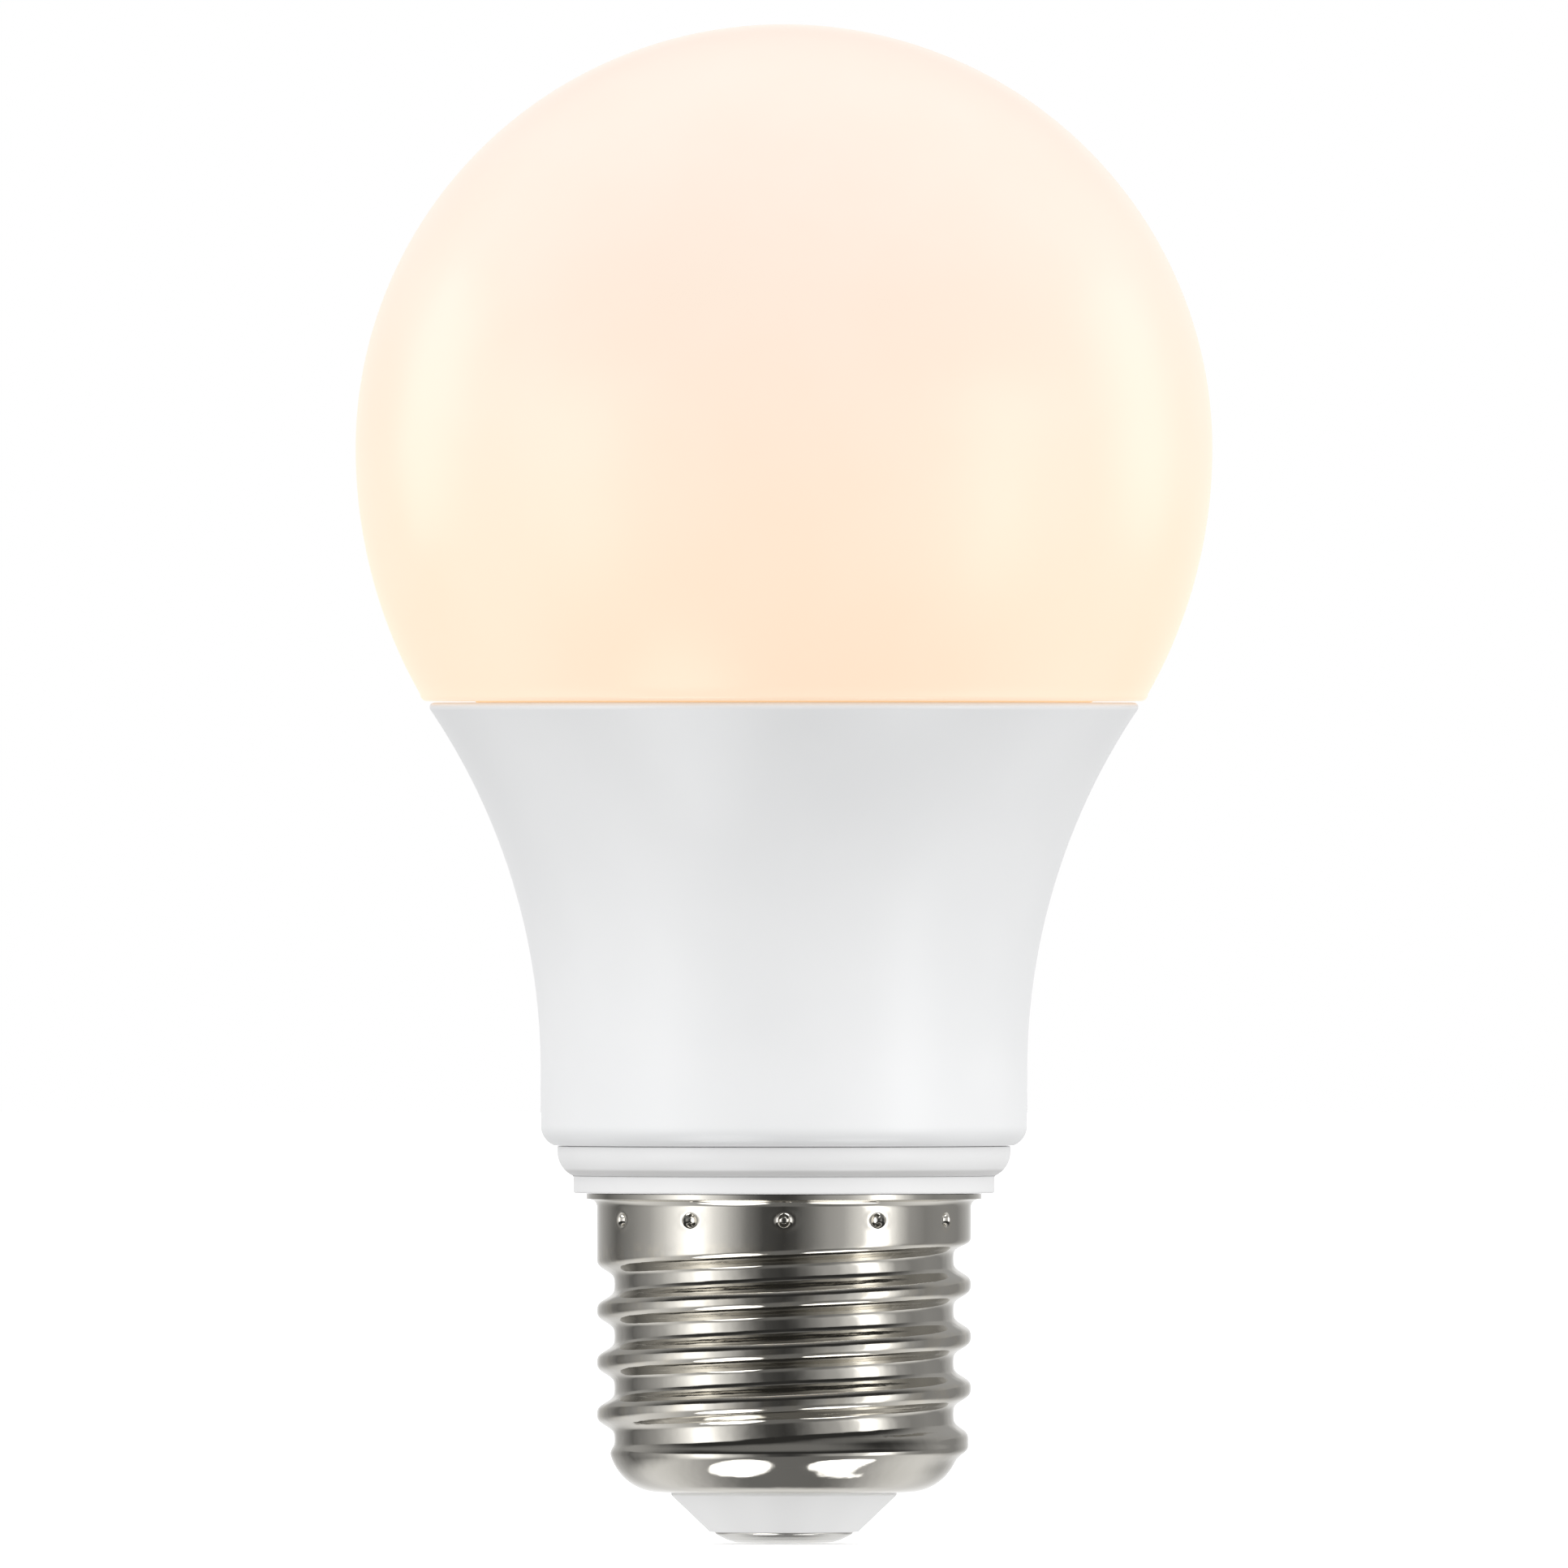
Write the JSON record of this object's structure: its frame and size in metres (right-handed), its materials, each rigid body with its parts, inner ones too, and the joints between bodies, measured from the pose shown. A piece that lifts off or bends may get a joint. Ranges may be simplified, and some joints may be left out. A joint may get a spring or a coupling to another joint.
{
  "type": "smart light bulb",
  "caption": "Mains LED lamp with an opal pear-shaped globe, a flared white housing, a threaded metal screw cap, and its LED board, wireless module and driver inside.",
  "frame": {"origin": "centre of the centre contact's outer face, on the lamp's axis", "axes": "+Z along the lamp's axis from the screw cap to the globe's crown; -Y is the front; the driver board lies in the XZ plane"},
  "size_m": [0.06, 0.06, 0.1063],
  "materials": {
    "opal_globe": "opal polycarbonate, glossy",
    "silicone": "white silicone",
    "white_housing": "satin moulded plastic",
    "aluminium": "deep-drawn aluminium",
    "thermal_pad": "soft silicone pad",
    "led_board": "aluminium-core board with white solder mask",
    "zinc_screw": "zinc plated",
    "led_package": "white moulded package",
    "warm_phosphor": "phosphor in silicone, warm",
    "cool_phosphor": "phosphor in silicone, cool",
    "connector": "ivory nylon",
    "black_plastic": "black moulded plastic",
    "gold_pin": "gold flash",
    "blue_board": "glass-epoxy board, blue solder mask",
    "tin_can": "tinned sheet",
    "bright_copper": "copper track, gold plated",
    "cup_plastic": "white moulded plastic",
    "green_board": "glass-epoxy board, green solder mask",
    "can_sleeve": "aluminium can in a dark shrink sleeve",
    "film_case": "epoxy-filled case",
    "varistor_coat": "blue epoxy coat",
    "resistor_coat": "flameproof coat",
    "ferrite": "sintered ferrite",
    "copper_winding": "enamelled copper wire",
    "winding_tape": "polyester tape over the winding",
    "chip_ceramic": "ceramic",
    "solder": "solder",
    "red_insulation": "PVC insulation",
    "tinned_wire": "tinned copper",
    "nickel_cap": "nickel-plated brass sheet",
    "base_plastic": "white insulating plastic",
    "contact_metal": "nickel-plated brass"
  },
  "bodies": {
    "root": {"globe": "opal_globe", "globe_seal": "silicone", "housing": "white_housing", "heat_sink": "aluminium", "thermal_pad": "thermal_pad", "led_board": "led_board", "led_board_screws": "zinc_screw", "warm_leds": "led_package", "warm_phosphors": "warm_phosphor", "cool_leds": "led_package", "cool_phosphors": "cool_phosphor", "led_board_socket": "connector", "header_pins": "gold_pin", "header_body": "black_plastic", "wireless_board": "blue_board", "wireless_shield": "tin_can", "wireless_chip": "black_plastic", "wireless_crystal": "tin_can", "wireless_antenna": "bright_copper", "wireless_pins": "gold_pin", "driver_cup": "cup_plastic", "driver_board": "green_board", "bulk_capacitor": "can_sleeve", "output_capacitor": "can_sleeve", "film_capacitor": "film_case", "varistor": "varistor_coat", "fuse_resistor": "resistor_coat", "bridge_rectifier": "black_plastic", "choke_core": "ferrite", "choke_winding": "copper_winding", "transformer_core": "ferrite", "transformer_bobbin": "black_plastic", "transformer_winding": "winding_tape", "converter_chip": "black_plastic", "dimmer_chip": "black_plastic", "freewheel_diode": "black_plastic", "chip_resistors": "black_plastic", "chip_capacitors": "chip_ceramic", "solder_joints": "solder", "live_wire": "red_insulation", "neutral_wire": "tinned_wire", "screw_shell": "nickel_cap", "base_insulator": "base_plastic", "centre_contact": "contact_metal"}
  },
  "joints": []
}
